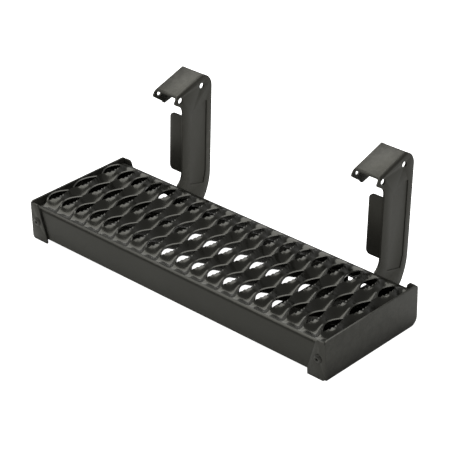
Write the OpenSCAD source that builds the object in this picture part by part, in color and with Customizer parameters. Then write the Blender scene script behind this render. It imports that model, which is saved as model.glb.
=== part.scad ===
// Hook-on tailgate step: a formed grip-strand plank with two stamped end caps,
// hung from two bolted sheet-steel hanger arms.
// X runs along the step, Y from its front rail to the arms, Z up.
// The origin is centred under the whole step, level with the bottoms of the end caps.

/* [Step] */
// Length over the two end caps
step_length = 560; // [450:5:900]
// Width of the plank over its front and rear rails
plank_width = 181; // [150:1:300]
// Gap from the ground to the lower edges of the plank's rails
ground_gap = 6.5; // [5:0.5:12]
// Height of the plank, from its rails' lower edges to its flat margins
plank_height = 46; // [40:0.5:60]

/* [Plank] */
// Thickness of the plank's sheet
plank_sheet = 2; // [1.5:0.1:3]
// Outer radius of the bends along the rails
rail_bend_r = 5; // [3:0.5:7]
// Length of the base plate under each end of the plank
base_length = 160; // [140:1:200]
// Height of the base plates' upturned flanges
base_flange = 14; // [10:0.5:15]
// Width of the flat margin along each rail
margin_width = 10; // [9:0.5:16]
// Depth of the troughs below the flat margins
trough_depth = 6; // [5:0.5:9]
// Height of the gripping lips above the flat margins
lip_rise = 7; // [4:0.5:9]
// Distance between neighbouring openings along the step
column_pitch = 29.1; // [27:0.1:36]
// Distance between rows of openings across the step
row_pitch = 54; // [50:0.5:60]
// Number of rows of openings
row_count = 3; // [2:1:4]
// Length of one large opening
opening_length = 45; // [38:1:46]
// How far a large opening bulges towards the left end
opening_bulge_left = 10; // [6:0.5:11]
// How far a large opening bulges towards the right end
opening_bulge_right = 4; // [3:0.5:7]
// Length of a small slot between two rows
slot_length = 18; // [12:1:22]
// Width of a small slot between two rows
slot_width = 5; // [3:0.5:6]

/* [End caps] */
// Thickness of the end caps' sheet
cap_sheet = 2.5; // [2:0.1:4]
// How far the end caps stand above the gripping lips
cap_cover = 0.5; // [0:0.5:6]
// Radius of three corners of an end cap
cap_corner_r = 5; // [4:0.5:8]
// Radius of the lower rear corner of an end cap
cap_heel_r = 12; // [5:0.5:16]
// Width of an end cap's side flange at its foot
cap_flange_foot = 30; // [26:1:40]
// Width of an end cap's side flange at its top
cap_flange_top = 16; // [12:1:24]
// Drop from the top of an end cap to the top of its side flanges
cap_flange_drop = 2; // [1:0.5:10]
// Height of the end cap screws above the ground
cap_screw_height = 30; // [22:1:40]
// Distance of the end cap screws from the ends of the step
cap_screw_inset = 12; // [11:0.5:16]

/* [Hanger arms] */
// Thickness of the hanger arms' sheet
arm_sheet = 3; // [2.5:0.1:4]
// Width of the saddle at the top of an arm, over both ears
saddle_width = 46; // [38:1:50]
// Distance from each end of the step to the nearest side of an arm
arm_inset = 70; // [60:1:100]
// Depth of an arm from its front flap to its rear edge
arm_depth = 59; // [52:1:75]
// Height of an arm above the plank's flat margins, to the top of its saddle
arm_rise = 160; // [140:1:220]
// How far the arms lean back from upright, in degrees
arm_lean = 3.5; // [0:0.5:6]
// Distance from the rear rail to the front flap of an arm
arm_standoff = 9; // [6:0.5:14]
// Width of the front flap
flap_width = 26; // [20:1:32]
// Outer radius of the bends in an arm
arm_bend_r = 5; // [4.5:0.5:7]
// Diameter of the cross holes in the saddle
pin_hole_d = 9; // [6.5:0.5:11]
// Length of the saddle, from its front edge to its back edge
saddle_length = 50; // [42:0.5:56]
// How far the saddle's front edge reaches in front of the flap
nose_reach = 10; // [6:0.5:14]
// Slope of the saddle, falling to the front, in degrees
saddle_slope = 21; // [10:1:25]
// Depth of the ear under the saddle
ear_depth = 35; // [31:0.5:40]
// Width of the flange turned in along the rear edge
rear_flange = 9; // [7:0.5:14]
// Radius of the arm's upper rear corner
shoulder_r = 22; // [14:1:26]
// Width of the leg's upper flange
leg_top_flange = 15; // [10:0.5:15]
// Height of the leg inside the plank
leg_height = 18; // [14:0.5:22]

/* [Fasteners] */
// Diameter of the bolts that hold the arms
arm_bolt_d = 8; // [6:1:10]
// Diameter of the screws that hold the end caps
cap_screw_d = 6; // [5:1:6]

/* [Hidden] */
$fn = 48;

// Named clearances
cap_fit = 0.3;          // between an end cap's flange and a rail
end_fit = 0.6;          // between an end cap and the end of the plank
arm_fit = 0.3;          // between an arm and the rear rail
window_fit = 1;         // round an arm where it passes the rear rail
leg_fit = 1;            // between the leg's tip and the base plate's front flange
base_raise = 1.5;       // from the rails' lower edges up to the base plates
bolt_hole_fit = 0.5;    // radial, bolt in its hole
square_fit = 0.2;       // each side, bolt neck in its square hole
washer_fit = 0.2;       // radial, washer on its bolt
thread_fit = 0.05;      // radial, nut on its bolt

// Outer sizes, measured from the left end, the front of the caps and the ground
rail_front = cap_sheet + cap_fit;
rail_rear = rail_front + plank_width;
cap_depth = rail_rear + cap_fit + cap_sheet;
plank_top = ground_gap + plank_height;
plank_left = cap_sheet + end_fit;
plank_right = step_length - cap_sheet - end_fit;
lip_top = plank_top + lip_rise;
cap_height = lip_top + cap_cover;
trough_bottom = plank_top - trough_depth;

// The upright part of an end cap's flange, at its foot
cap_flange_heel = 9;

// End cap screws
screw_head_r = cap_screw_d * 1.03;
screw_head_h = cap_screw_d * 0.4;
screw_socket_af = cap_screw_d * 0.67;
screw_length = 14;
weld_nut_af = cap_screw_d * 1.67;
weld_nut_h = cap_screw_d * 0.83;

// Arm bolts with their washers and nuts
bolt_head_r = arm_bolt_d * 1.25;
bolt_head_h = arm_bolt_d * 0.5;
bolt_neck = arm_bolt_d;
washer_r = arm_bolt_d;
washer_h = arm_bolt_d * 0.2;
lock_washer_r = arm_bolt_d * 0.92;
lock_washer_h = arm_bolt_d * 0.25;
lock_washer_split = 1.2;
hex_nut_af = arm_bolt_d * 1.625;
hex_nut_h = arm_bolt_d * 0.8125;
bolt_tip = 1.8;

// The leg of an arm, inside the plank
base_bottom = ground_gap + base_raise;
leg_bottom = base_bottom + plank_sheet;
leg_top = leg_bottom + leg_height;
leg_tip_r = 4;
leg_front = rail_front + 2 * plank_sheet + leg_fit;
bolt_edge = 17;
bolt_front_y = rail_front + bolt_edge;
bolt_rear_y = rail_rear - bolt_edge;
bolt_x = -27;
arm_left_x = arm_inset + saddle_width;
arm_right_x = step_length - arm_inset;

// The upper arm, in its own leaned frame: u back from the flap, v up from the margins
pivot_y = rail_rear + arm_standoff;
nose = [-nose_reach, arm_rise - saddle_length * tan(saddle_slope)];
saddle_back = [saddle_length - nose_reach, arm_rise];
nose_tip = nose + [-6, -11];
nose_r = 3.5;
toe_tip_r = 4;
toe_tip = nose + [16, -28];
ear_heel = [arm_depth - toe_tip_r, arm_rise - (ear_depth - toe_tip_r) / cos(saddle_slope)
  + (arm_depth - toe_tip_r - saddle_back[0]) * tan(saddle_slope)];
pin_front = nose + [5, -9];
pin_rear = saddle_back + [-1.5, -17];
throat_v = nose[1] - 31;
throat_r = 12;
flap_top_v = throat_v - 4;
flap_bottom_v = 16;
flap_corner_r = 7;
sweep_r = 20;
shoulder_c = [arm_depth - shoulder_r, arm_rise - shoulder_r];
rear_flange_top_v = throat_v + 4;
side_reach = arm_rise + 140;
prism_behind = 80;
prism_length = arm_rise + 100;
panel_front_u = 16.5;
panel_rear_gap = 10;
panel_foot_v = -8;
panel_depth = 1.2;

// The heel: two arcs from the rear edge down to the ground
heel_start_v = 5;
heel_r = 88;
toe_r = 30;
heel_start = lean_point([arm_depth, heel_start_v]);
heel_c = heel_start + heel_r * [-cos(arm_lean), sin(arm_lean)];
heel_turn = asin((heel_c[1] - toe_r) / (heel_r - toe_r));
toe_c = heel_c + (heel_r - toe_r) * [cos(heel_turn), -sin(heel_turn)];

// Rearmost point of the shoulder, and the middle of the whole step
rear_most = lean_point(shoulder_c)[0] + shoulder_r;
mid_y = (rear_most - screw_head_h) / 2;

// Pattern of the openings
deck_front = rail_front + margin_width;
deck_rear = rail_rear - margin_width;
deck_mid = (deck_front + deck_rear) / 2;
lip_sheet = plank_sheet;
first_column = plank_left + opening_bulge_left + lip_sheet + 0.4;
column_count = floor((plank_right - first_column - opening_bulge_right - lip_sheet) / column_pitch) + 1;
curve_steps = 6;

function lean_point(p) = [
  pivot_y + p[0] * cos(arm_lean) + p[1] * sin(arm_lean),
  plank_top - p[0] * sin(arm_lean) + p[1] * cos(arm_lean)];
function arc(c, r, from, to, steps) = [for (i = [0 : steps])
  c + r * [cos(from + (to - from) * i / steps), sin(from + (to - from) * i / steps)]];
function reversed(points) = [for (i = [len(points) - 1 : -1 : 0]) points[i]];
// Points of a lens, from its front tip up its right side and back down its left side
function lens(len, left, right) = concat(
  [for (i = [0 : curve_steps]) [right * sin(180 * i / curve_steps), len * (i / curve_steps - 0.5)]],
  [for (i = [curve_steps - 1 : -1 : 1]) [-left * sin(180 * i / curve_steps), len * (i / curve_steps - 0.5)]]);
function column_x(i) = first_column + i * column_pitch;
function row_y(j) = deck_mid + (j - (row_count - 1) / 2) * row_pitch;

// Puts everything drawn inside it in the step's own frame
module placed() {
  translate([-step_length / 2, -mid_y, 0]) children();
}

// Draws an outline in the plane of an arm's side plate and thickens it towards +X
module side_sheet(x, thick) {
  translate([x, 0, 0]) rotate([90, 0, 90]) linear_extrude(thick) children();
}

// ---- tread plank ----

module bend(y, z, turn) {
  translate([y, z]) intersection() {
    difference() {
      circle(rail_bend_r);
      circle(rail_bend_r - plank_sheet);
    }
    rotate(turn) square(rail_bend_r);
  }
}

module rail_profile() {
  r = rail_bend_r;
  bend(r, plank_height - r, 90);
  square([plank_sheet, plank_height - r]);
  translate([r, plank_height - plank_sheet]) square([margin_width - r, plank_sheet]);
  translate([margin_width - plank_sheet, plank_height - trough_depth]) square([plank_sheet, trough_depth]);
}

module rail(y, flip) {
  side_sheet(plank_left, plank_right - plank_left)
    translate([y, ground_gap]) mirror([flip, 0]) rail_profile();
}

module each_opening() {
  for (i = [0 : column_count - 1], j = [0 : row_count - 1])
    translate([column_x(i), row_y(j)]) children();
}

module each_slot() {
  for (i = [1 : column_count - 1], j = [0 : row_count - 2])
    translate([column_x(i) - slot_width, row_y(j) + row_pitch / 2]) children();
}

module opening_outline(grow) {
  polygon(lens(opening_length + 2 * grow, opening_bulge_left + grow, opening_bulge_right + grow));
}

module slot_outline(grow) {
  polygon(lens(slot_length + 2 * grow, slot_width / 2 + grow, slot_width / 2 + grow));
}

// The lips of the openings, kept to the deck between the two margins
module lips() {
  intersection() {
    union() {
      each_opening() opening_outline(lip_sheet);
      each_slot() slot_outline(lip_sheet * 0.6);
    }
    translate([plank_left, deck_front - plank_sheet])
      square([plank_right - plank_left, deck_rear - deck_front + 2 * plank_sheet]);
  }
}

module plank_bores() {
  for (x = [cap_screw_inset, step_length - cap_screw_inset])
    for (y = [rail_front + plank_sheet / 2, rail_rear - plank_sheet / 2])
      translate([x, y, cap_screw_height]) rotate([90, 0, 0])
        cylinder(h = 3 * plank_sheet, r = cap_screw_d / 2 + bolt_hole_fit, center = true);
}

module arm_windows() {
  for (x = [arm_left_x, arm_right_x])
    translate([x - saddle_width - window_fit, rail_rear - plank_sheet - 1, leg_bottom])
      cube([saddle_width + 2 * window_fit, plank_sheet + 2, leg_height + window_fit]);
}

module tread_plank() {
  color([0.1, 0.1, 0.095]) placed() difference() {
    union() {
      rail(rail_front, 0);
      rail(rail_rear, 1);
      translate([plank_left, deck_front - plank_sheet, trough_bottom])
        cube([plank_right - plank_left, deck_rear - deck_front + 2 * plank_sheet, plank_sheet]);
      translate([0, 0, trough_bottom]) linear_extrude(lip_top - trough_bottom) lips();
    }
    translate([0, 0, trough_bottom - 1]) linear_extrude(lip_top - trough_bottom + 2) {
      each_opening() opening_outline(0);
      each_slot() slot_outline(0);
    }
    plank_bores();
    arm_windows();
  }
}

// ---- base plates, which tie the rails together and carry the arms ----

// Half of a base plate's cross-section, from the front rail's inner face to the middle
module base_profile() {
  bend(rail_bend_r, rail_bend_r, 180);
  translate([0, rail_bend_r]) square([plank_sheet, base_flange - rail_bend_r]);
  translate([rail_bend_r, 0]) square([plank_width / 2 - plank_sheet - rail_bend_r, plank_sheet]);
}

// One base plate from x = left, for the arm whose outer face is at x = arm
module base_plate(left, arm) {
  length = base_length - plank_left;
  square_hole = bolt_neck + 2 * square_fit;
  difference() {
    union() {
      side_sheet(left, length) translate([rail_front + plank_sheet, base_bottom]) base_profile();
      side_sheet(left, length) translate([rail_rear - plank_sheet, base_bottom]) mirror([1, 0]) base_profile();
    }
    translate([arm - saddle_width - window_fit, rail_rear - plank_sheet - rail_bend_r - 1, leg_bottom])
      cube([saddle_width + 2 * window_fit, rail_bend_r + 2, leg_height]);
    for (y = [bolt_front_y, bolt_rear_y])
      translate([arm + bolt_x, y, base_bottom]) cube([square_hole, square_hole, 3 * plank_sheet], center = true);
  }
}

module base_plate_left() {
  color([0.1, 0.1, 0.095]) placed() base_plate(plank_left, arm_left_x);
}

module base_plate_right() {
  color([0.1, 0.1, 0.095]) placed() base_plate(step_length - base_length, arm_right_x);
}

// ---- end caps ----

// Outline of an end cap's face, its front edge at y = 0
module cap_face() {
  polygon(concat(
    arc([cap_corner_r, cap_corner_r], cap_corner_r, 180, 270, 8),
    arc([cap_depth - cap_heel_r, cap_heel_r], cap_heel_r, 270, 360, 12),
    arc([cap_depth - cap_corner_r, cap_height - cap_corner_r], cap_corner_r, 0, 90, 8),
    arc([cap_corner_r, cap_height - cap_corner_r], cap_corner_r, 90, 180, 8)));
}

// Outline of one side flange, which widens to its foot; r is the radius of the corner it starts from
module cap_flange(r) {
  top = cap_height - cap_flange_drop;
  polygon(concat(
    arc([r, r], r, 180, 270, 6),
    [[cap_flange_foot, 0], [cap_flange_foot, cap_flange_heel], [cap_flange_top, top - 3],
      [cap_flange_top - 3, top]],
    arc([cap_corner_r, top - cap_corner_r], cap_corner_r, 90, 180, 4)));
}

// One end cap with its face at x = 0 and its flanges towards +X
module end_cap() {
  difference() {
    union() {
      side_sheet(0, cap_sheet) cap_face();
      translate([0, cap_sheet, 0]) rotate([90, 0, 0]) linear_extrude(cap_sheet) cap_flange(cap_corner_r);
      translate([0, cap_depth, 0]) rotate([90, 0, 0]) linear_extrude(cap_sheet) cap_flange(cap_heel_r);
    }
    for (y = [cap_sheet / 2, cap_depth - cap_sheet / 2])
      translate([cap_screw_inset, y, cap_screw_height]) rotate([90, 0, 0])
        cylinder(h = 3 * cap_sheet, r = cap_screw_d / 2 + bolt_hole_fit, center = true);
  }
}

module end_cap_left() {
  color([0.12, 0.12, 0.115]) placed() end_cap();
}

module end_cap_right() {
  color([0.12, 0.12, 0.115]) placed() translate([step_length, 0, 0]) mirror([1, 0, 0]) end_cap();
}

// ---- end cap screws and the weld nuts that hold them ----

// One screw driven towards +Y, its head resting on the plane y = 0
module cap_screw() {
  difference() {
    rotate([90, 0, 0]) rotate_extrude() polygon([[0, -screw_length], [cap_screw_d / 2 - 0.5, -screw_length],
      [cap_screw_d / 2, 0.5 - screw_length], [cap_screw_d / 2, 0], [screw_head_r, 0],
      [screw_head_r, screw_head_h * 0.35], [screw_head_r * 0.82, screw_head_h * 0.8],
      [screw_head_r * 0.55, screw_head_h], [0, screw_head_h]]);
    translate([0, -screw_head_h - 1, 0]) rotate([-90, 30, 0])
      cylinder(h = screw_head_h * 0.7 + 1, r = screw_socket_af / 2 / cos(30), $fn = 6);
  }
}

// One weld nut on the plane y = 0, reaching towards +Y
module weld_nut() {
  rotate([-90, 0, 0]) difference() {
    cylinder(h = weld_nut_h, r = weld_nut_af / 2 / cos(30), $fn = 6);
    translate([0, 0, -1]) cylinder(h = weld_nut_h + 2, r = cap_screw_d / 2 + thread_fit);
  }
}

// Turns a piece made for the front rail to face the rear rail where side is "rear"
module at_cap_screw(x, side, front_y, rear_y) {
  translate([x, side == "rear" ? rear_y : front_y, cap_screw_height])
    rotate([0, 0, side == "rear" ? 180 : 0]) children();
}

module cap_screw_at(x, side) {
  color([0.15, 0.15, 0.15]) placed() at_cap_screw(x, side, 0, cap_depth) cap_screw();
}

module weld_nut_at(x, side) {
  color([0.45, 0.45, 0.42]) placed()
    at_cap_screw(x, side, rail_front + plank_sheet, rail_rear - plank_sheet) weld_nut();
}

// ---- hanger arms ----

// Front of the saddle, from its top edge round the nose and down to its chin
function nose_outline() = concat(
  [lean_point(nose)],
  [for (p = arc(nose_tip + [nose_r, 0], nose_r, 150, 235, 5)) lean_point(p)]);

// The sweep that joins the front edge to the rear rail
function sweep_top() = lean_point([0, flap_bottom_v - 1]);
function sweep_c() = sweep_top() - sweep_r * [cos(arm_lean), -sin(arm_lean)];
function sweep_end() = -acos((rail_rear + arm_fit - sweep_c()[0]) / sweep_r);

// The two arcs of the heel, from the rear edge down to the ground, drawn this far inside its outline
function heel_points(inset) = concat(
  arc(heel_c, heel_r - inset, -arm_lean, -heel_turn, 8),
  arc(toe_c, toe_r - inset, -heel_turn - 6, -90, 8));

// The side plate, from the saddle down the rear edge, along the leg and back up the front edge
function side_outline() = concat(
  [lean_point(saddle_back)],
  [for (p = arc(shoulder_c, shoulder_r, 84, 0, 12)) lean_point(p)],
  heel_points(0),
  [[rail_rear + arm_fit, 0], [rail_rear + arm_fit, leg_bottom]],
  arc([leg_front + leg_tip_r, leg_bottom + leg_tip_r], leg_tip_r, 270, 180, 4),
  arc([leg_front + leg_tip_r, leg_top - leg_tip_r], leg_tip_r, 180, 90, 4),
  [[rail_rear + arm_fit, leg_top]],
  arc(sweep_c(), sweep_r, sweep_end(), -arm_lean, 8),
  [lean_point([0, throat_v - 3]), lean_point([0, throat_v])],
  [for (p = arc([-throat_r, throat_v + 2], throat_r, 0, 70, 6)) lean_point(p)],
  reversed(nose_outline()));

// The ear on the far side of the saddle
function ear_outline() = concat(
  [lean_point(saddle_back)],
  [for (p = arc(shoulder_c, shoulder_r, 84, 0, 12)) lean_point(p)],
  [for (p = arc(ear_heel, toe_tip_r, 0, saddle_slope - 90, 5)) lean_point(p)],
  [for (p = arc(toe_tip + [0, toe_tip_r], toe_tip_r, saddle_slope - 90, -170, 6)) lean_point(p)],
  reversed(nose_outline()));

// Cross-section of the saddle, open downwards, with its top on the line y = 0
module saddle_section(inset) {
  w = saddle_width - 2 * inset;
  r = arm_bend_r - inset;
  translate([-saddle_width + inset, -inset - side_reach]) square([w, side_reach - r]);
  translate([-saddle_width + inset + r, -inset - r]) square([w - 2 * r, r]);
  for (x = [-inset - r, -saddle_width + inset + r])
    translate([x, -inset - r - 0.01]) circle(r);
}

// A long prism of that section, laid along the sloping top of the saddle
module saddle_prism(inset) {
  top = lean_point(saddle_back);
  translate([0, top[0], top[1]]) rotate([saddle_slope - arm_lean + 90, 0, 0])
    translate([0, 0, -prism_behind]) linear_extrude(prism_length) saddle_section(inset);
}

// Draws in the leaned frame: x as in the arm, y as u, z as v
module leaned() {
  translate([0, pivot_y, plank_top]) rotate([-arm_lean, 0, 0]) children();
}

// The front flap and its bend, from the side plate towards -X
module front_flap() {
  r = arm_bend_r;
  leaned() intersection() {
    translate([0, 0, flap_bottom_v]) linear_extrude(flap_top_v - flap_bottom_v) {
      translate([-flap_width, 0]) square([flap_width - r, arm_sheet]);
      intersection() {
        translate([-r, r]) difference() {
          circle(r);
          circle(r - arm_sheet);
        }
        translate([-r, 0]) square(r);
      }
    }
    translate([0, arm_depth, 0]) rotate([90, 0, 0]) linear_extrude(2 * arm_depth) {
      c = flap_corner_r;
      translate([c - flap_width, flap_bottom_v]) square([flap_width, flap_top_v - flap_bottom_v]);
      translate([-flap_width, flap_bottom_v + c]) square([flap_width, flap_top_v - flap_bottom_v - 2 * c]);
      for (v = [flap_bottom_v + c, flap_top_v - c])
        translate([c - flap_width, v]) circle(c);
    }
  }
}

// The flange turned in along the rear edge and round the heel
module rear_edge_flange() {
  side_sheet(-rear_flange, rear_flange) polygon(concat(
    [lean_point([arm_depth, rear_flange_top_v])], heel_points(0),
    reversed(heel_points(arm_sheet)), [lean_point([arm_depth - arm_sheet, rear_flange_top_v])]));
}

// The leg's two flanges, which stiffen it and carry the bolts
module leg_flanges() {
  length = rail_rear - leg_front - leg_tip_r;
  translate([-saddle_width, leg_front + leg_tip_r, leg_bottom]) cube([saddle_width, length, arm_sheet]);
  translate([-leg_top_flange, leg_front + leg_tip_r, leg_top - arm_sheet])
    cube([leg_top_flange, length, arm_sheet]);
}

module pin_bore(p, length) {
  c = lean_point(p);
  translate([-length - 1, c[0], c[1]]) rotate([0, 90, 0]) cylinder(h = length + 2, r = pin_hole_d / 2);
}

// The stiffening panel pressed into the side plate
module panel_outline() {
  rear = arm_depth - panel_rear_gap;
  top = rear_flange_top_v;
  corners = [[panel_front_u, panel_foot_v], [panel_front_u, top - 12], [panel_front_u + 4, top - 8],
    [rear - 3, top + 5], [rear, top + 3], [rear, heel_start_v], [rear - 4, panel_foot_v - 6]];
  polygon([for (p = corners) lean_point(p)]);
}

// One arm with the outer face of its side plate at x = 0
module hanger_arm() {
  difference() {
    union() {
      intersection() {
        side_sheet(-arm_sheet, arm_sheet) polygon(side_outline());
        saddle_prism(0);
      }
      intersection() {
        side_sheet(-saddle_width, saddle_width - arm_sheet) polygon(ear_outline());
        difference() {
          saddle_prism(0);
          saddle_prism(arm_sheet);
        }
      }
      rear_edge_flange();
      front_flap();
      leg_flanges();
    }
    side_sheet(-panel_depth, panel_depth + 1) panel_outline();
    pin_bore(pin_front, saddle_width);
    pin_bore(pin_rear, saddle_width);
    for (y = [bolt_front_y, bolt_rear_y])
      translate([bolt_x, y, leg_bottom - 1]) cylinder(h = arm_sheet + 2, r = arm_bolt_d / 2 + bolt_hole_fit);
  }
}

module hanger_arm_at(x) {
  color([0.2, 0.2, 0.19]) placed() translate([x, 0, 0]) hanger_arm();
}

// ---- arm bolts, washers and nuts ----

module at_arm_bolt(x, side, z) {
  placed() translate([x + bolt_x, side == "rear" ? bolt_rear_y : bolt_front_y, z]) children();
}

washer_z = leg_bottom + arm_sheet;
lock_washer_z = washer_z + washer_h;
hex_nut_z = lock_washer_z + lock_washer_h;

module arm_bolt_at(x, side) {
  tip = hex_nut_z + hex_nut_h + bolt_tip - base_bottom;
  dome_r = (pow(bolt_head_r, 2) + pow(bolt_head_h, 2)) / (2 * bolt_head_h);
  color([0.5, 0.5, 0.5]) at_arm_bolt(x, side, base_bottom) {
    intersection() {
      translate([0, 0, -bolt_head_h]) cylinder(h = bolt_head_h, r = bolt_head_r);
      translate([0, 0, dome_r - bolt_head_h]) sphere(dome_r, $fn = 64);
    }
    translate([-bolt_neck / 2, -bolt_neck / 2, -0.5]) cube([bolt_neck, bolt_neck, plank_sheet + 0.5]);
    cylinder(h = tip - 0.8, r = arm_bolt_d / 2);
    translate([0, 0, tip - 0.8]) cylinder(h = 0.8, r1 = arm_bolt_d / 2, r2 = arm_bolt_d / 2 - 0.8);
  }
}

module flat_washer_at(x, side) {
  color([0.6, 0.6, 0.6]) at_arm_bolt(x, side, washer_z) difference() {
    cylinder(h = washer_h, r = washer_r);
    translate([0, 0, -1]) cylinder(h = washer_h + 2, r = arm_bolt_d / 2 + washer_fit);
  }
}

module lock_washer_at(x, side) {
  color([0.6, 0.6, 0.6]) at_arm_bolt(x, side, lock_washer_z) difference() {
    cylinder(h = lock_washer_h, r = lock_washer_r);
    translate([0, 0, -1]) cylinder(h = lock_washer_h + 2, r = arm_bolt_d / 2 + washer_fit);
    translate([0, -lock_washer_split / 2, -1]) cube([lock_washer_r + 1, lock_washer_split, lock_washer_h + 2]);
  }
}

module hex_nut_at(x, side) {
  color([0.6, 0.6, 0.6]) at_arm_bolt(x, side, hex_nut_z) difference() {
    cylinder(h = hex_nut_h, r = hex_nut_af / 2 / cos(30), $fn = 6);
    translate([0, 0, -1]) cylinder(h = hex_nut_h + 2, r = arm_bolt_d / 2 + thread_fit);
  }
}

tread_plank();
base_plate_left();
base_plate_right();
end_cap_left();
end_cap_right();
cap_screw_at(cap_screw_inset, "front");  // cap_screw_left_front
cap_screw_at(cap_screw_inset, "rear");  // cap_screw_left_rear
cap_screw_at(step_length - cap_screw_inset, "front");  // cap_screw_right_front
cap_screw_at(step_length - cap_screw_inset, "rear");  // cap_screw_right_rear
weld_nut_at(cap_screw_inset, "front");  // weld_nut_left_front
weld_nut_at(cap_screw_inset, "rear");  // weld_nut_left_rear
weld_nut_at(step_length - cap_screw_inset, "front");  // weld_nut_right_front
weld_nut_at(step_length - cap_screw_inset, "rear");  // weld_nut_right_rear
hanger_arm_at(arm_left_x);  // hanger_arm_left
hanger_arm_at(arm_right_x);  // hanger_arm_right
arm_bolt_at(arm_left_x, "front");  // arm_bolt_left_front
arm_bolt_at(arm_left_x, "rear");  // arm_bolt_left_rear
arm_bolt_at(arm_right_x, "front");  // arm_bolt_right_front
arm_bolt_at(arm_right_x, "rear");  // arm_bolt_right_rear
flat_washer_at(arm_left_x, "front");  // flat_washer_left_front
flat_washer_at(arm_left_x, "rear");  // flat_washer_left_rear
flat_washer_at(arm_right_x, "front");  // flat_washer_right_front
flat_washer_at(arm_right_x, "rear");  // flat_washer_right_rear
lock_washer_at(arm_left_x, "front");  // lock_washer_left_front
lock_washer_at(arm_left_x, "rear");  // lock_washer_left_rear
lock_washer_at(arm_right_x, "front");  // lock_washer_right_front
lock_washer_at(arm_right_x, "rear");  // lock_washer_right_rear
hex_nut_at(arm_left_x, "front");  // hex_nut_left_front
hex_nut_at(arm_left_x, "rear");  // hex_nut_left_rear
hex_nut_at(arm_right_x, "front");  // hex_nut_right_front
hex_nut_at(arm_right_x, "rear");  // hex_nut_right_rear
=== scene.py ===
"""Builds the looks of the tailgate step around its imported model: deck, rails, end caps, hangers and fasteners."""

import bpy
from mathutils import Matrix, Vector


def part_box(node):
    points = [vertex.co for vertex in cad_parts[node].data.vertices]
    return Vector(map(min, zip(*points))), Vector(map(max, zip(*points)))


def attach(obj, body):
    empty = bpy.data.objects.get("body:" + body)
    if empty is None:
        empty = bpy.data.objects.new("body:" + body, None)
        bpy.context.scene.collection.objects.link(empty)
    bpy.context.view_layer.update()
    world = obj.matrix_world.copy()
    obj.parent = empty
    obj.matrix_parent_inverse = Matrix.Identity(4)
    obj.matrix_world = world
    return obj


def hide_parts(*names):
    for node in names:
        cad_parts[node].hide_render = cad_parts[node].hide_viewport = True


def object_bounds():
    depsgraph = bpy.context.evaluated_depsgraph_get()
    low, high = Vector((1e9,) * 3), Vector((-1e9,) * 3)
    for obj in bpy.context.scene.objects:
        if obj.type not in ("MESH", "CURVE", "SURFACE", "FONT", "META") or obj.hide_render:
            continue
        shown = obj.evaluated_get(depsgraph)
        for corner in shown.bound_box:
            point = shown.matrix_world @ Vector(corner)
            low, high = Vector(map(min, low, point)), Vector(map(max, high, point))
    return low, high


bl_info = {
    "name": "Tailgate Step Looks",
    "version": (1, 0, 0),
    "blender": (4, 5, 0),
    "location": "View3D > Sidebar > Step",
    "description": "Makes the pieces and finishes of a hook-on tailgate step",
    "category": "Object",
}

import math

import bmesh
import bpy
from mathutils import Matrix, Vector

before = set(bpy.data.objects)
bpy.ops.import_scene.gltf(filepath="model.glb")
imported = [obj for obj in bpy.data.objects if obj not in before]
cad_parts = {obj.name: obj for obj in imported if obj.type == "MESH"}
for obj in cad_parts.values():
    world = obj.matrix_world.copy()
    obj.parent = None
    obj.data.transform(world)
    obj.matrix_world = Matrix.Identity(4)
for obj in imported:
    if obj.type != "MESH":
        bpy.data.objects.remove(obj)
cad_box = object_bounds()

SIDES = ("left", "right")
ENDS = ("front", "rear")
TAU = 2 * math.pi


def both(kind):
    """The four CAD nodes of one kind of fastener."""
    return [f"{kind}_{side}_{end}" for side in SIDES for end in ENDS]


def middle(node):
    low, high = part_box(node)
    return (low + high) / 2


def size_of(node):
    low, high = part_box(node)
    return high - low


PLANK_LOW, PLANK_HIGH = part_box("tread_plank")


# ---- settings -------------------------------------------------------------


def length(name, default, description, low=0.0, high=1.0):
    return bpy.props.FloatProperty(
        name=name, default=default, description=description, min=low, max=high, unit="LENGTH", precision=4
    )


def share(name, default, description, high=1.0):
    return bpy.props.FloatProperty(
        name=name, default=default, description=description, min=0.0, max=high, subtype="FACTOR"
    )


def colour(name, default, description):
    return bpy.props.FloatVectorProperty(
        name=name, default=default, description=description, size=3, min=0.0, max=1.0, subtype="COLOR"
    )


class TreadSettings(bpy.types.PropertyGroup):
    """Sizes of the formed plank"""

    sheet: length("Sheet", 0.002, "Thickness of the plank's sheet")
    bend: length("Rail Bend", 0.005, "Outer radius of the bends along the rails")
    lip: length("Lip Rise", 0.007, "Height of the lips above the flat margins")
    trough: length("Trough Depth", 0.0075, "Depth of the troughs below the lips, beside an opening")
    neck: length("Neck Depth", 0.007, "Extra depth of the troughs between two rows of openings")
    pitch: length("Column Pitch", 0.0291, "Distance between columns of openings")
    first: length("First Column", 0.0152, "Distance from the left end of the step to the first column")
    row_pitch: length("Row Pitch", 0.0544, "Distance between rows of openings")
    middle_opening: length("Middle Opening", 0.050, "Length of the openings in the middle row")
    outer_opening: length("Outer Opening", 0.043, "Length of the openings in the two outer rows")
    bulge_left: length("Bulge Left", 0.0105, "How far an opening bulges to the left")
    bulge_right: length("Bulge Right", 0.0042, "How far an opening bulges to the right")
    dome_place: length("Dome Place", 0.004, "How far in front of an opening's middle a strand domes up highest")
    dome_reach: length("Dome Reach", 0.022, "Length of either slope of a dome")
    dome: share("Dome", 0.85, "Share of a trough that a dome fills beside the teeth")
    ramp: length("Margin Ramp", 0.017, "Width over which the flat margins turn into strands")
    tooth_pitch: length("Tooth Pitch", 0.0068, "Distance between the teeth on the serrated lips")
    tooth: length("Tooth Depth", 0.0016, "Depth of the teeth on the serrated lips")
    leg_height: length("Leg Height", 0.018, "Height of a hanger's leg, which the rear rail's windows let through")
    window_gap: length("Window Gap", 0.001, "Clearance round a leg in its window")


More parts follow.
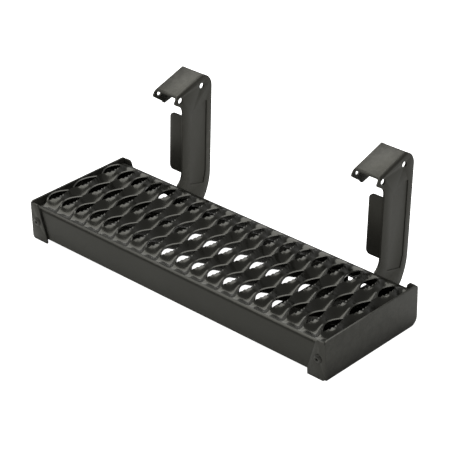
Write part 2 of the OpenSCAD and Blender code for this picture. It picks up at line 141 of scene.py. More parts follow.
class SheetSettings(bpy.types.PropertyGroup):
    """Edges of the end caps and hangers"""

    cap_bend: length("Cap Bend", 0.0035, "Radius of the bends between an end cap's face and its flanges")
    edge: length("Sheared Edge", 0.0005, "Rounding of sheared and coated edges")


class FinishSettings(bpy.types.PropertyGroup):
    """Colours and gloss of the finishes"""

    tread_colour: colour("Tread", (0.006, 0.006, 0.0048), "Colour of the plank's powder coat")
    cap_colour: colour("End Caps", (0.014, 0.0138, 0.0120), "Colour of the end caps' powder coat")
    arm_colour: colour("Hangers", (0.022, 0.0212, 0.0178), "Colour of the hangers' powder coat")
    screw_colour: colour("Screws", (0.020, 0.0195, 0.018), "Colour of the blackened screws")
    zinc_colour: colour("Zinc", (0.52, 0.52, 0.49), "Colour of the zinc-plated fasteners")
    gloss: share("Gloss", 0.15, "Share of the clear top in the powder coat")


class StageSettings(bpy.types.PropertyGroup):
    """Camera, floor and light"""

    azimuth: bpy.props.FloatProperty(
        name="Azimuth", default=math.radians(44.352), subtype="ANGLE", description="Camera's turn to the right"
    )
    elevation: bpy.props.FloatProperty(
        name="Elevation", default=math.radians(29.359), subtype="ANGLE", description="Camera's height angle"
    )
    roll: bpy.props.FloatProperty(
        name="Roll", default=math.radians(-1.439), subtype="ANGLE", description="Camera's roll"
    )
    distance: length("Distance", 2.56994, "Distance from the camera to the point that it aims at", high=20.0)
    lens: bpy.props.FloatProperty(name="Lens", default=146.361, description="Focal length in millimetres")
    aim: bpy.props.FloatVectorProperty(
        name="Aim", default=(-0.02915, 0.01352, 0.05342), size=3, unit="LENGTH",
        description="Point that the camera aims at",
    )
    sky: share("Sky", 0.3, "Strength of the even light from all round")
    lamp_power: bpy.props.FloatProperty(
        name="Lamp Power", default=42.0, description="Power of the overhead light in watts"
    )
    lamp_place: bpy.props.FloatVectorProperty(
        name="Lamp Place", default=(-0.55, 0.1, 1.7), size=3, unit="LENGTH",
        description="Middle of the overhead light",
    )
    lamp_size: bpy.props.FloatVectorProperty(
        name="Lamp Size", default=(2.4, 2.0), size=2, unit="LENGTH",
        description="Length and width of the overhead light",
    )


GROUPS = {
    "step_tread": TreadSettings,
    "step_sheet": SheetSettings,
    "step_finish": FinishSettings,
    "step_stage": StageSettings,
}


# ---- materials ------------------------------------------------------------

WARM_SHEEN = (1.0, 0.985, 0.86, 1)
PEEL_DEPTH = 0.0004
GRAIN_DEPTH = 0.0002
GRAIN_SCALE = 700.0
GRAIN_STRENGTH = 0.15
DULL_SHARE = 0.6


def add_node(tree, kind, **values):
    """Adds a node and sets its properties."""
    node = tree.nodes.new(kind)
    for name, value in values.items():
        setattr(node, name, value)
    return node


def new_group(name, inputs, outputs):
    """An empty shader group with these sockets: {name: (type, default)} in, {name: type} out."""
    group = bpy.data.node_groups.new(name, "ShaderNodeTree")
    for socket, (kind, default) in inputs.items():
        made = group.interface.new_socket(socket, in_out="INPUT", socket_type=kind)
        made.default_value = default
    for socket, kind in outputs.items():
        group.interface.new_socket(socket, in_out="OUTPUT", socket_type=kind)
    return group, group.nodes.new("NodeGroupInput"), group.nodes.new("NodeGroupOutput")


def mix_colour(tree, mode, factor, one, two):
    node = add_node(tree, "ShaderNodeMix", data_type="RGBA", blend_type=mode)
    for socket, value in ((node.inputs[0], factor), (node.inputs[6], one), (node.inputs[7], two)):
        if isinstance(value, bpy.types.NodeSocket):
            tree.links.new(value, socket)
        else:
            socket.default_value = value
    return node.outputs[2]


def maths(tree, operation, *values, clamp=False):
    node = add_node(tree, "ShaderNodeMath", operation=operation, use_clamp=clamp)
    for socket, value in zip(node.inputs, values):
        if isinstance(value, bpy.types.NodeSocket):
            tree.links.new(value, socket)
        else:
            socket.default_value = value
    return node.outputs[0]


def noise(tree, vector, scale, detail=2.0, roughness=0.5):
    node = add_node(tree, "ShaderNodeTexNoise")
    tree.links.new(vector, node.inputs["Vector"])
    for name, value in (("Scale", scale), ("Detail", detail), ("Roughness", roughness)):
        if isinstance(value, bpy.types.NodeSocket):
            tree.links.new(value, node.inputs[name])
        else:
            node.inputs[name].default_value = value
    return node.outputs["Fac"]


def ramp(tree, factor, low, high):
    node = add_node(tree, "ShaderNodeMapRange", interpolation_type="SMOOTHSTEP")
    tree.links.new(factor, node.inputs["Value"])
    node.inputs["From Min"].default_value = low
    node.inputs["From Max"].default_value = high
    return node.outputs["Result"]


def coat_group():
    """Powder coat: slow colour drift, rubbed edges, dust specks, orange peel and uneven gloss."""
    group, given, out = new_group(
        "Powder Coat",
        {
            "Vector": ("NodeSocketVector", (0, 0, 0)),
            "Colour": ("NodeSocketColor", (0.02, 0.02, 0.02, 1)),
            "Rubbed Colour": ("NodeSocketColor", (0.1, 0.1, 0.1, 1)),
            "Rubbing": ("NodeSocketFloat", 0.5),
            "Roughness": ("NodeSocketFloat", 0.4),
            "Peel Scale": ("NodeSocketFloat", 900.0),
            "Speck Scale": ("NodeSocketFloat", 1800.0),
        },
        {"Colour": "NodeSocketColor", "Roughness": "NodeSocketFloat", "Height": "NodeSocketFloat"},
    )
    vector = given.outputs["Vector"]
    drift = noise(group, vector, scale=14.0, detail=3.0)
    specks = ramp(group, noise(group, vector, given.outputs["Speck Scale"], detail=1.0), low=0.62, high=0.78)
    peel = noise(group, vector, given.outputs["Peel Scale"])
    pointed = add_node(group, "ShaderNodeNewGeometry").outputs["Pointiness"]
    edge = ramp(group, pointed, low=0.53, high=0.62)
    broken = ramp(group, noise(group, vector, scale=120.0, detail=4.0, roughness=0.7), low=0.38, high=0.66)
    rubbed = maths(group, "MULTIPLY", maths(group, "MULTIPLY", edge, broken), given.outputs["Rubbing"], clamp=True)
    shade = maths(group, "MULTIPLY_ADD", drift, 0.5, 0.75)
    grey = add_node(group, "ShaderNodeCombineColor")
    for channel in grey.inputs:
        group.links.new(shade, channel)
    base = mix_colour(group, "MULTIPLY", 1.0, given.outputs["Colour"], grey.outputs[0])
    speckled = mix_colour(group, "MIX", maths(group, "MULTIPLY", specks, 0.12), base, given.outputs["Rubbed Colour"])
    finished = mix_colour(group, "MIX", rubbed, speckled, given.outputs["Rubbed Colour"])
    rough = maths(group, "MULTIPLY_ADD", drift, 0.14, given.outputs["Roughness"])
    rough = maths(group, "SUBTRACT", rough, 0.07)
    rough = maths(group, "MULTIPLY_ADD", rubbed, 0.1, rough, clamp=True)
    group.links.new(finished, out.inputs["Colour"])
    group.links.new(rough, out.inputs["Roughness"])
    group.links.new(maths(group, "MULTIPLY_ADD", specks, 0.3, peel), out.inputs["Height"])
    return group


def powder_coat(name, tint, rubbed, rubbing, roughness, bump, coat=0.0, coat_roughness=0.2, peel=900.0):
    """A powder-coated finish. The coat, when there is one, is the glossy skin over the colour."""
    material = bpy.data.materials.new(name)
    material.use_nodes = True
    tree = material.node_tree
    shader = tree.nodes["Principled BSDF"]
    place = add_node(tree, "ShaderNodeTexCoord")
    group = add_node(tree, "ShaderNodeGroup")
    group.node_tree = bpy.data.node_groups.get("Powder Coat") or coat_group()
    tree.links.new(place.outputs["Object"], group.inputs["Vector"])
    group.inputs["Colour"].default_value = (*tint, 1)
    group.inputs["Rubbed Colour"].default_value = (*rubbed, 1)
    group.inputs["Rubbing"].default_value = rubbing
    group.inputs["Roughness"].default_value = roughness
    group.inputs["Peel Scale"].default_value = peel
    shake = add_node(tree, "ShaderNodeBump")
    shake.inputs["Strength"].default_value = bump
    shake.inputs["Distance"].default_value = PEEL_DEPTH
    tree.links.new(group.outputs["Height"], shake.inputs["Height"])
    tree.links.new(group.outputs["Colour"], shader.inputs["Base Color"])
    tree.links.new(group.outputs["Roughness"], shader.inputs["Roughness"])
    tree.links.new(shake.outputs["Normal"], shader.inputs["Normal"])
    shader.inputs["Specular Tint"].default_value = WARM_SHEEN
    shader.inputs["Coat Weight"].default_value = coat
    shader.inputs["Coat Roughness"].default_value = coat_roughness
    return material


def zinc_plate(tint):
    """Clear zinc plate with a fine crystalline grain and duller patches."""
    material = bpy.data.materials.new("zinc_plate")
    material.use_nodes = True
    tree = material.node_tree
    shader = tree.nodes["Principled BSDF"]
    place = add_node(tree, "ShaderNodeTexCoord").outputs["Object"]
    grain = add_node(tree, "ShaderNodeTexVoronoi")
    grain.inputs["Scale"].default_value = GRAIN_SCALE
    tree.links.new(place, grain.inputs["Vector"])
    patches = noise(tree, place, scale=160.0, detail=3.0)
    dull = tuple(channel * DULL_SHARE for channel in tint)
    tone = mix_colour(tree, "MIX", patches, (*tint, 1), (*dull, 1))
    tree.links.new(tone, shader.inputs["Base Color"])
    tree.links.new(maths(tree, "MULTIPLY_ADD", patches, 0.3, 0.22), shader.inputs["Roughness"])
    shake = add_node(tree, "ShaderNodeBump")
    shake.inputs["Strength"].default_value = GRAIN_STRENGTH
    shake.inputs["Distance"].default_value = GRAIN_DEPTH
    tree.links.new(grain.outputs["Distance"], shake.inputs["Height"])
    tree.links.new(shake.outputs["Normal"], shader.inputs["Normal"])
    shader.inputs["Metallic"].default_value = 1.0
    return material


def finish(name):
    """The finish of that name, made once."""
    if name in bpy.data.materials:
        return bpy.data.materials[name]
    look = bpy.context.scene.step_finish
    coats = {
        "tread_coat": dict(
            tint=look.tread_colour, rubbed=(0.05, 0.05, 0.045), rubbing=0.25, roughness=0.27, bump=0.08,
            coat=look.gloss, coat_roughness=0.14,
        ),
        "rail_coat": dict(
            tint=look.tread_colour, rubbed=(0.05, 0.05, 0.045), rubbing=0.15, roughness=0.42, bump=0.08,
        ),
        "cap_coat": dict(
            tint=look.cap_colour, rubbed=(0.07, 0.07, 0.063), rubbing=0.30, roughness=0.42, bump=0.22,
            coat=0.1, coat_roughness=0.3, peel=620.0,
        ),
        "arm_coat": dict(
            tint=look.arm_colour, rubbed=(0.08, 0.078, 0.068), rubbing=0.35, roughness=0.46, bump=0.12,
        ),
        "black_oxide": dict(
            tint=look.screw_colour, rubbed=(0.12, 0.12, 0.11), rubbing=0.5, roughness=0.38, bump=0.08,
            coat=0.1, coat_roughness=0.3, peel=1400.0,
        ),
    }
    if name in coats:
        return powder_coat(name, **coats[name])
    return zinc_plate(look.zinc_colour)


# ---- mesh helpers ---------------------------------------------------------

SHARP_EDGE = 40
SHEET_CREASE = 45.0
MERGE = 1e-6


def keep(bm, name, material, crease=35.0):
    """Turns a bmesh into a piece at the origin, smooth but for its creases."""
    mesh = bpy.data.meshes.new(name)
    bm.to_mesh(mesh)
    bm.free()
    return dress(mesh, name, material, crease)


def dress(mesh, name, material, crease):
    mesh.name = name
    mesh.polygons.foreach_set("use_smooth", [True] * len(mesh.polygons))
    mesh.set_sharp_from_angle(angle=math.radians(crease))
    mesh.materials.clear()
    mesh.materials.append(material)
    piece = bpy.data.objects.new(name, mesh)
    bpy.context.scene.collection.objects.link(piece)
    return piece


def settle(source, name, material, crease=35.0):
    """Replaces an object that has modifiers by the plain mesh they make."""
    depsgraph = bpy.context.evaluated_depsgraph_get()
    mesh = bpy.data.meshes.new_from_object(source.evaluated_get(depsgraph))
    bpy.data.objects.remove(source)
    return dress(mesh, name, material, crease)


def enter(piece, slot, *nodes):
    """Puts a finished piece into the frame in place of its CAD nodes."""
    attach(piece, "root")
    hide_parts(*nodes)
    return piece


def merged_copy(node):
    """A bmesh of a CAD node's own shape, with its doubles merged and its flat faces whole."""
    bm = bmesh.new()
    bm.from_mesh(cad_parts[node].data)
    bmesh.ops.remove_doubles(bm, verts=bm.verts, dist=MERGE)
    bmesh.ops.dissolve_degenerate(bm, dist=MERGE, edges=bm.edges)
    bmesh.ops.dissolve_limit(bm, angle_limit=math.radians(0.4), verts=bm.verts, edges=bm.edges)
    return bm


def soften(bm, edges, width, segments):
    bmesh.ops.bevel(
        bm, geom=edges, offset=width, offset_type="OFFSET", segments=segments, profile=0.5,
        affect="EDGES", clamp_overlap=True, miter_outer="SHARP",
    )


def sharp_edges(bm, degrees):
    limit = math.radians(degrees)
    return [e for e in bm.edges if len(e.link_faces) == 2 and e.calc_face_angle(0.0) > limit]


def arc(centre, radius, start, end, steps):
    """Points of an arc in a plane, angles in degrees."""
    cx, cy = centre
    angles = [math.radians(start + (end - start) * i / steps) for i in range(steps + 1)]
    return [(cx + radius * math.cos(a), cy + radius * math.sin(a)) for a in angles]


def lathe(profile, segments=40):
    """Turns a profile of (radius, height) points round the Z axis into a closed bmesh."""
    bm = bmesh.new()
    rings = []
    for radius, height in profile:
        if radius < 1e-9:
            rings.append([bm.verts.new((0, 0, height))])
        else:
            rings.append([
                bm.verts.new((radius * math.cos(TAU * i / segments), radius * math.sin(TAU * i / segments), height))
                for i in range(segments)
            ])
    for lower, upper in zip(rings, rings[1:]):
        for i in range(segments):
            j = (i + 1) % segments
            if len(lower) == 1:
                bm.faces.new((lower[0], upper[j], upper[i]))
            elif len(upper) == 1:
                bm.faces.new((lower[i], lower[j], upper[0]))
            else:
                bm.faces.new((lower[i], lower[j], upper[j], upper[i]))
    return bm, rings


def close_normals(bm):
    bmesh.ops.remove_doubles(bm, verts=bm.verts, dist=1e-7)
    bmesh.ops.recalc_face_normals(bm, faces=bm.faces)


# ---- geometry node helpers ------------------------------------------------


class Field:
    """A number in a geometry node tree that takes part in ordinary arithmetic."""

    def __init__(self, tree, socket):
        self.tree = tree
        self.socket = socket

    def apply(self, operation, *others):
        node = self.tree.nodes.new("ShaderNodeMath")
        node.operation = operation
        for socket, value in zip(node.inputs, (self, *others)):
            if isinstance(value, Field):
                self.tree.links.new(value.socket, socket)
            else:
                socket.default_value = value
        return Field(self.tree, node.outputs[0])

    def __add__(self, other):
        return self.apply("ADD", other)

    def __sub__(self, other):
        return self.apply("SUBTRACT", other)

    def __mul__(self, other):
        return self.apply("MULTIPLY", other)

    def __truediv__(self, other):
        return self.apply("DIVIDE", other)

    def __neg__(self):
        return self * -1.0

    def at_least(self, other):
        return self.apply("MAXIMUM", other)

    def at_most(self, other):
        return self.apply("MINIMUM", other)

    def smooth(self):
        """The smooth step of a value from 0 to 1."""
        held = self.at_least(0.0).at_most(1.0)
        return held * held * (held * -2.0 + 3.0)


class Tree:
    """A geometry node tree with named inputs, put on an object as a modifier."""

    def __init__(self, name, inputs):
        self.tree = bpy.data.node_groups.new(name, "GeometryNodeTree")
        interface = self.tree.interface
        interface.new_socket("Geometry", in_out="OUTPUT", socket_type="NodeSocketGeometry")
        self.sockets = {}
        for label, (kind, _) in inputs.items():
            self.sockets[label] = interface.new_socket(label, in_out="INPUT", socket_type=kind).identifier
        self.values = {label: value for label, (_, value) in inputs.items()}
        self.given = self.tree.nodes.new("NodeGroupInput")

    def node(self, kind, links=(), **values):
        made = self.tree.nodes.new(kind)
        for name, value in values.items():
            setattr(made, name, value)
        for socket, value in dict(links).items():
            target = made.inputs[socket]
            if isinstance(value, Field):
                value = value.socket
            if isinstance(value, bpy.types.NodeSocket):
                self.tree.links.new(value, target)
            else:
                target.default_value = value
        return made

    def read(self, label):
        return Field(self.tree, self.given.outputs[label])

    def end(self, geometry):
        """Realizes what is left as instances, sets the material and ends the tree."""
        solid = self.node("GeometryNodeRealizeInstances", {"Geometry": geometry})
        painted = self.node(
            "GeometryNodeSetMaterial",
            {"Geometry": solid.outputs[0], "Material": self.given.outputs["Material"]},
        )
        out = self.tree.nodes.new("NodeGroupOutput")
        self.tree.links.new(painted.outputs[0], out.inputs[0])

    def put_on(self, name):
        """A new object that carries the tree, with its inputs set by their identifiers."""
        carrier = bpy.data.objects.new(name, bpy.data.meshes.new(name))
        bpy.context.scene.collection.objects.link(carrier)
        modifier = carrier.modifiers.new(name, "NODES")
        modifier.node_group = self.tree
        for label, value in self.values.items():
            modifier[self.sockets[label]] = value
        return carrier


# ---- deck of gripping strands ---------------------------------------------

STRANDS = 20
POINTS_ACROSS = 15
POINTS_ALONG = 151
STRAND_SPACING = 2.0
MERGE_DISTANCE = 0.00004
GAPE_POWER = 0.9
TOOTH_POWER = 0.8
TEETH_REACH = 6.0
TROUGH_SKEW = 1.15
TROUGH_POWER = 2.0
DOME_SIDE = 0.95
DOME_FALL = 1.4


def deck_tree(size, material):
    """One strand as a flat patch, repeated, then bent into troughs between the openings."""
    top = PLANK_HIGH.z - size.lip
    number = "NodeSocketFloat"
    tree = Tree("Grip Deck", {
        "Material": ("NodeSocketMaterial", material),
        "Left End": (number, PLANK_LOW.x),
        "Right End": (number, PLANK_HIGH.x),
        "Front": (number, PLANK_LOW.y + size.bend),
        "Rear": (number, PLANK_HIGH.y - size.bend),
        "Margin Height": (number, top),
        "First Column": (number, cad_box[0][0] + size.first),
        "Column Pitch": (number, size.pitch),
        "Row Pitch": (number, size.row_pitch),
        "Middle Opening": (number, size.middle_opening),
        "Outer Opening": (number, size.outer_opening),
        "Bulge Left": (number, size.bulge_left),
        "Bulge Right": (number, size.bulge_right),
        "Lip Rise": (number, size.lip),
        "Trough Depth": (number, size.trough),
        "Neck Depth": (number, size.neck),
        "Dome Place": (number, size.dome_place),
        "Dome Reach": (number, size.dome_reach),
        "Dome": (number, size.dome),
        "Margin Ramp": (number, size.ramp),
        "Tooth Pitch": (number, size.tooth_pitch),
        "Tooth Depth": (number, size.tooth),
    })
    read = tree.read
    patch = tree.node("GeometryNodeMeshGrid", {
        "Size X": 1.0, "Size Y": 1.0, "Vertices X": POINTS_ACROSS, "Vertices Y": POINTS_ALONG,
    })
    line = tree.node("GeometryNodeMeshLine", {"Count": STRANDS, "Offset": (STRAND_SPACING, 0.0, 0.0)})
    copies = tree.node("GeometryNodeInstanceOnPoints", {"Points": line.outputs[0], "Instance": patch.outputs[0]})
    index = tree.node("GeometryNodeInputIndex")
    numbered = tree.node(
        "GeometryNodeStoreNamedAttribute",
        {"Geometry": copies.outputs[0], "Name": "strand", "Value": index.outputs[0]},
        data_type="FLOAT", domain="INSTANCE",
    )
    strips = tree.node("GeometryNodeRealizeInstances", {"Geometry": numbered.outputs[0]})

    named = tree.node("GeometryNodeInputNamedAttribute", {"Name": "strand"}, data_type="FLOAT")
    place = tree.node("ShaderNodeSeparateXYZ", {"Vector": tree.node("GeometryNodeInputPosition").outputs[0]})
    strand = Field(tree.tree, named.outputs[0]) - 1.0
    across = Field(tree.tree, place.outputs["X"]) - (strand + 1.0) * STRAND_SPACING + 0.5
    along = Field(tree.tree, place.outputs["Y"]) + 0.5

    front, rear = read("Front"), read("Rear")
    y = front + along * (rear - front)
    from_middle = y - (front + rear) * 0.5
    row = (from_middle / read("Row Pitch")).apply("ROUND").at_least(-1.0).at_most(1.0)
    outer = row.apply("ABSOLUTE")
    opening = read("Middle Opening") + outer * (read("Outer Opening") - read("Middle Opening"))
    from_row = from_middle - row * read("Row Pitch")
    reach = (from_row / (opening * 0.5)).apply("ABSOLUTE").at_most(1.0)
    turn = (from_row / (read("Row Pitch") * 0.5)).apply("ABSOLUTE").at_most(1.0) * math.pi
    neck = turn.apply("COSINE") * -0.5 + 0.5
    gape = (reach * (math.pi / 2)).apply("COSINE").at_least(0.0)
    gape = gape.apply("POWER", GAPE_POWER)

    tooth = (y / read("Tooth Pitch")).apply("PINGPONG", 0.5) * 2.0
    tooth = tooth.apply("POWER", TOOTH_POWER) * (gape * 2.0).at_most(1.0)
    edge_left = read("First Column") + strand * read("Column Pitch") + read("Bulge Right") * gape
    edge_right = read("First Column") + (strand + 1.0) * read("Column Pitch") - read("Bulge Left") * gape
    width = edge_right - edge_left
    first = ((read("Left End") - edge_left) / width).at_least(0.0).at_most(1.0)
    last = ((read("Right End") - edge_left) / width).at_least(0.0).at_most(1.0)
    spot = across.at_least(first).at_most(last)
    x = edge_left + spot * width

    # The trough lies nearer the smooth lip, so its serrated side is the gentler slope.
    skewed = spot.apply("POWER", TROUGH_SKEW) * 2.0 - 1.0
    trough = skewed.apply("ABSOLUTE").apply("POWER", TROUGH_POWER) * -1.0 + 1.0
    # Beside the teeth a dome fills the trough, highest a little in front of the opening's middle.
    rise = (-((from_row + read("Dome Place")) / read("Dome Reach")).apply("ABSOLUTE") + 1.0).smooth()
    dome = rise * ((-spot + DOME_SIDE) * DOME_FALL).smooth() * read("Dome")
    near_teeth = (spot * -TEETH_REACH + 1.0).at_least(0.0)
    drop = tooth * near_teeth * read("Tooth Depth")
    depth = read("Trough Depth") + neck * read("Neck Depth")
    form = read("Lip Rise") - trough * (-dome + 1.0) * depth - drop
    inset = (y - front).at_most(rear - y) / read("Margin Ramp")
    z = read("Margin Height") + form * inset.smooth()

    bent = tree.node("ShaderNodeCombineXYZ", {"X": x, "Y": y, "Z": z})
    shaped = tree.node("GeometryNodeSetPosition", {"Geometry": strips.outputs[0], "Position": bent.outputs[0]})
    joined = tree.node("GeometryNodeMergeByDistance", {"Geometry": shaped.outputs[0], "Distance": MERGE_DISTANCE})
    tree.end(joined.outputs[0])
    return tree


class STEP_OT_deck(bpy.types.Operator):
    """Make the deck of serrated gripping strands"""

    bl_idname = "step.deck"
    bl_label = "Deck"

    def execute(self, context):
        size = context.scene.step_tread
        material = finish("tread_coat")
        carrier = deck_tree(size, material).put_on("grip_deck")
        wall = carrier.modifiers.new("Sheet", "SOLIDIFY")
        wall.thickness = size.sheet
        wall.offset = -1.0
        piece = settle(carrier, "grip_deck", material, 60.0)
        enter(piece, "tread_black", "tread_plank")
        return {"FINISHED"}


# ---- rails ----------------------------------------------------------------


def rail_profile(size):
    """Outer face of the front rail as (depth, height) points, from the deck's edge down to its lower edge."""
    bend = size.bend
    height = PLANK_HIGH.z - size.lip - PLANK_LOW.z
    window = window_heights(size)
    points = arc((bend, height - bend), bend, 90, 180, 8)
    points += [(0.0, window[1]), (0.0, window[0]), (0.0, 0.0)]
    return points


def window_heights(size):
    """Lower and upper edges of the legs' windows above the rail's lower edge."""
    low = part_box("base_plate_left")[0].z + size.sheet - PLANK_LOW.z
    return low, low + size.leg_height + size.window_gap


def rail_stations(size):
    """Places along X where the rails' sheet is divided, with the windows' edges among them."""
    windows = []
    for side in SIDES:
        low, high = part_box(f"hanger_arm_{side}")
        windows.append((low.x - size.window_gap, high.x + size.window_gap))
    places = sorted({PLANK_LOW.x, PLANK_HIGH.x, *(x for window in windows for x in window)})
    return places, windows


def rail(size, rear):
    """One rail and its bend; the rear one has a window for each leg."""
    profile = rail_profile(size)
    places, windows = rail_stations(size)
    bm = bmesh.new()
    rows = []
    for depth, height in profile:
        y = PLANK_HIGH.y - depth if rear else PLANK_LOW.y + depth
        rows.append([bm.verts.new((x, y, PLANK_LOW.z + height)) for x in places])
    window = window_heights(size)
    for i, (upper, lower) in enumerate(zip(rows, rows[1:])):
        in_window = profile[i][1] < window[1] + 1e-6 and profile[i + 1][1] > window[0] - 1e-6
        for j in range(len(places) - 1):
            centre = (places[j] + places[j + 1]) / 2
            if rear and in_window and any(low < centre < high for low, high in windows):
                continue
            bm.faces.new((upper[j], lower[j], lower[j + 1], upper[j + 1]))
    bmesh.ops.recalc_face_normals(bm, faces=bm.faces)
    if sum((f.normal.y > 0) == rear for f in bm.faces if abs(f.normal.y) > 0.9) == 0:
        bmesh.ops.reverse_faces(bm, faces=bm.faces)
    name = "rear_rail" if rear else "front_rail"
    raw = keep(bm, name + "_sheet", finish("rail_coat"))
    wall = raw.modifiers.new("Sheet", "SOLIDIFY")
    wall.thickness = size.sheet
    wall.offset = -1.0
    wall.use_even_offset = True
    return settle(raw, name, finish("rail_coat"), 40.0)


class STEP_OT_rails(bpy.types.Operator):
    """Make the front and rear rails of the plank"""

    bl_idname = "step.rails"
    bl_label = "Rails"

    def execute(self, context):
        for rear in (False, True):
            enter(rail(context.scene.step_tread, rear), "tread_black", "tread_plank")
        return {"FINISHED"}


# ---- end caps and hangers -------------------------------------------------

HIDDEN_EDGE_SHARE = 0.6
TOLERANCE = 1e-5


class STEP_OT_end_caps(bpy.types.Operator):
    """Make the stamped end caps with their bends and sheared edges"""

    bl_idname = "step.end_caps"
    bl_label = "End Caps"

    def execute(self, context):
        size = context.scene.step_sheet
        for side in SIDES:
            node = f"end_cap_{side}"
            low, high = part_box(node)
            face = low.x if side == "left" else high.x
            bm = merged_copy(node)
            corners = [
                e for e in bm.edges
                if all(abs(v.co.x - face) < TOLERANCE for v in e.verts)
                and any(all(abs(v.co.y - y) < TOLERANCE for v in e.verts) for y in (low.y, high.y))
            ]
            soften(bm, corners, size.cap_bend, 5)
            soften(bm, sharp_edges(bm, SHARP_EDGE), size.edge, 2)
            enter(keep(bm, f"{side}_end_cap", finish("cap_coat"), SHEET_CREASE), "cap_black", node)
        return {"FINISHED"}


class STEP_OT_base_plates(bpy.types.Operator):
    """Make the plates under the deck that carry the hangers"""

    bl_idname = "step.base_plates"
    bl_label = "Base Plates"

    def execute(self, context):
        for side in SIDES:
            node = f"base_plate_{side}"
            bm = merged_copy(node)
            soften(bm, sharp_edges(bm, SHARP_EDGE), context.scene.step_sheet.edge * HIDDEN_EDGE_SHARE, 1)
            enter(keep(bm, f"{side}_base_plate", finish("rail_coat"), SHEET_CREASE), "tread_black", node)
        return {"FINISHED"}


class STEP_OT_hangers(bpy.types.Operator):
    """Make the two bent hangers"""

    bl_idname = "step.hangers"
    bl_label = "Hangers"

    def execute(self, context):
        size = context.scene.step_sheet
        for side in SIDES:
            node = f"hanger_arm_{side}"
            bm = merged_copy(node)
            soften(bm, sharp_edges(bm, SHARP_EDGE), size.edge, 2)
            enter(keep(bm, f"{side}_hanger", finish("arm_coat"), SHEET_CREASE), "arm_black", node)
        return {"FINISHED"}


# ---- fasteners ------------------------------------------------------------

# Heights, shanks, sockets and bores as shares of the radius of a fastener's head.
SCREW_HEAD_SHARE = 0.39
SCREW_SHANK_SHARE = 0.485
SCREW_NUT_SHARE = 0.49
SOCKET_SHARE = 0.65
SOCKET_LIMIT = 0.49
BOLT_SHARE = 0.4
WASHER_BORE_SHARE = 1.05
NUT_BORE_SHARE = 1.01

# Shares of a screw head's height, and of a shank, a nut's bore and its width.
RIM_SHARE = 0.25
SOCKET_FLOOR = 0.35
POINT_SHARE = 0.8
BORE_CHAMFER = 0.12
FACE_SHARE = 0.97

# The domed head of a bolt: how far its curve turns, in radians, and its share of the head's height.
HEAD_TURN = 1.2
HEAD_DOME_SHARE = 0.9

SCREW_STEPS = 48
FASTENER_CREASE = 32.0
SOCKET_LIP = 0.0002
SOCKET_CONE = 0.0005
BOLT_NECK = 0.002
BOLT_POINT = 0.0012
WASHER_EDGE = 0.0002


def places_tree(piece, nodes, material, turn_rear):
    """Four copies of a fastener, at the corners of a rectangle, the rear pair turned round if asked."""
    centres = [middle(node) for node in nodes]
    low = Vector([min(c[i] for c in centres) for i in range(3)])
    high = Vector([max(c[i] for c in centres) for i in range(3)])
    tree = Tree("Fastener Places", {
        "Material": ("NodeSocketMaterial", material),
        "Piece": ("NodeSocketObject", piece),
        "Spread X": ("NodeSocketFloat", high.x - low.x),
        "Spread Y": ("NodeSocketFloat", high.y - low.y),
        "Centre": ("NodeSocketVector", (low + high) / 2),
        "Turn Rear": ("NodeSocketFloat", math.pi if turn_rear else 0.0),
    })
    given = tree.given.outputs
    corners = tree.node("GeometryNodeMeshGrid", {
        "Size X": given["Spread X"], "Size Y": given["Spread Y"], "Vertices X": 2, "Vertices Y": 2,
    })
    source = tree.node("GeometryNodeObjectInfo", {"Object": given["Piece"]})
    place = tree.node("ShaderNodeSeparateXYZ", {"Vector": tree.node("GeometryNodeInputPosition").outputs[0]})
    at_rear = Field(tree.tree, place.outputs["Y"]).apply("GREATER_THAN", 0.0)
    turn = tree.node("ShaderNodeCombineXYZ", {"Z": at_rear * tree.read("Turn Rear")})
    copies = tree.node("GeometryNodeInstanceOnPoints", {
        "Points": corners.outputs[0], "Instance": source.outputs["Geometry"], "Rotation": turn.outputs[0],
    })
    moved = tree.node("GeometryNodeTransform", {"Geometry": copies.outputs[0], "Translation": given["Centre"]})
    tree.end(moved.outputs[0])
    return tree


def set_out(bm, name, kind, slot, look, turn_rear=False):
    """Makes one fastener into four, in place of its four CAD nodes."""
    material = finish(look)
    close_normals(bm)
    one = keep(bm, name + "_one", material)
    carrier = places_tree(one, both(kind), material, turn_rear).put_on(name)
    piece = settle(carrier, name, material, FASTENER_CREASE)
    bpy.data.objects.remove(one)
    enter(piece, slot, *both(kind))


def hexagon_radius(across_flats, angle):
    """Distance from the middle of a hexagon to its side, in that direction."""
    return across_flats / 2 / math.cos((angle + math.pi / 6) % (math.pi / 3) - math.pi / 6)


def hex_prism(across_flats, bore, low, high, chamfer, segments=48):
    """A chamfered nut with a bore."""
    bm = bmesh.new()
    rings = []
    flare = bore * BORE_CHAMFER
    radii = (
        (lambda a: bore + flare, high), (lambda a: bore, high - flare), (lambda a: bore, low + flare),
        (lambda a: bore + flare, low), (lambda a: across_flats / 2 * FACE_SHARE, low),
        (lambda a: hexagon_radius(across_flats, a), low + chamfer),
        (lambda a: hexagon_radius(across_flats, a), high - chamfer),
        (lambda a: across_flats / 2 * FACE_SHARE, high),
    )
    for radius, height in radii:
        rings.append([
            bm.verts.new((radius(TAU * i / segments) * math.cos(TAU * i / segments),
                          radius(TAU * i / segments) * math.sin(TAU * i / segments), height))
            for i in range(segments)
        ])
    for lower, upper in zip(rings, rings[1:] + rings[:1]):
        for i in range(segments):
            j = (i + 1) % segments
            bm.faces.new((lower[i], lower[j], upper[j], upper[i]))
    return bm


def thread(radius, low, high, pitch, depth):
    """Profile points of a thread's crests and roots."""
    count = max(1, int((high - low) / pitch))
    points = []
    for i in range(count):
        points += [(radius - depth, low + i * pitch), (radius, low + (i + 0.5) * pitch)]
    points.append((radius - depth, low + count * pitch))
    return points


